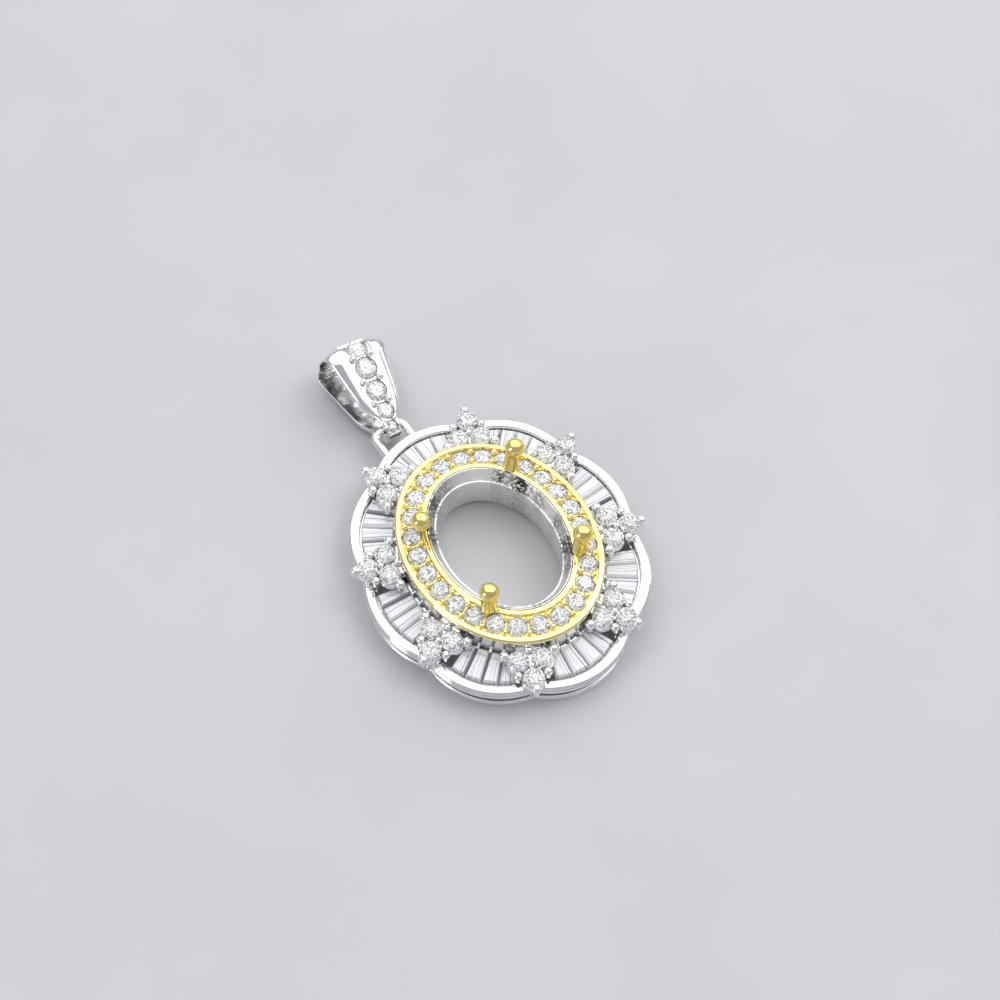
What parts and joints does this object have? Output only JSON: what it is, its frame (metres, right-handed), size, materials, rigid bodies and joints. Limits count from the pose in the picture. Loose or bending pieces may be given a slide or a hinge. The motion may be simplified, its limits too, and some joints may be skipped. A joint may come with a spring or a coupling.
{
  "type": "oval pendant mount with bail",
  "caption": "Oval four-prong pendant mount, empty for a centre stone, with a yellow halo, a scalloped flower border of set stones and a hinged tapered bail.",
  "frame": {"origin": "centre of the oval opening, on the flat back", "axes": "+X across the front, +Y towards the bail, +Z out of the front"},
  "size_m": [0.0162, 0.0256, 0.0054],
  "materials": {
    "white_metal": "mirror-polished rhodium-plated silver",
    "satin_white_metal": "satin as-cast rhodium-plated silver",
    "yellow_metal": "polished yellow gold plating",
    "clear_stone": "clear cut cubic zirconia"
  },
  "bodies": {
    "setting": {"frame": "white_metal", "collet": "satin_white_metal", "halo": "yellow_metal", "halo_stones": "clear_stone", "trefoil_stone_01": "clear_stone", "trefoil_stone_02": "clear_stone", "trefoil_stone_03": "clear_stone", "trefoil_stone_04": "clear_stone", "trefoil_stone_05": "clear_stone", "trefoil_stone_06": "clear_stone", "trefoil_stone_07": "clear_stone", "trefoil_stone_08": "clear_stone", "trefoil_stone_09": "clear_stone", "trefoil_stone_10": "clear_stone", "trefoil_stone_11": "clear_stone", "trefoil_stone_12": "clear_stone", "trefoil_stone_13": "clear_stone", "trefoil_stone_14": "clear_stone", "trefoil_stone_15": "clear_stone", "trefoil_stone_16": "clear_stone", "trefoil_stone_17": "clear_stone", "trefoil_stone_18": "clear_stone", "trefoil_stone_19": "clear_stone", "trefoil_stone_20": "clear_stone", "trefoil_stone_21": "clear_stone", "trefoil_stone_22": "clear_stone", "trefoil_stone_23": "clear_stone", "trefoil_stone_24": "clear_stone", "baguette_row_1": "clear_stone", "baguette_row_2": "clear_stone", "baguette_row_3": "clear_stone", "baguette_row_4": "clear_stone", "baguette_row_5": "clear_stone", "baguette_row_6": "clear_stone", "baguette_row_7": "clear_stone", "baguette_row_8": "clear_stone"},
    "bail": {"bail": "white_metal", "bail_stone_1": "clear_stone", "bail_stone_2": "clear_stone", "bail_stone_3": "clear_stone", "bail_stone_4": "clear_stone", "bail_stone_5": "clear_stone"}
  },
  "joints": [
    {"name": "bail_swing", "type": "hinge", "parent": "setting", "child": "bail", "pos_m": [-0.0004, 0.0106, 0.00115], "axis": [1, 0, 0], "range_deg": [-90, 85]}
  ]
}
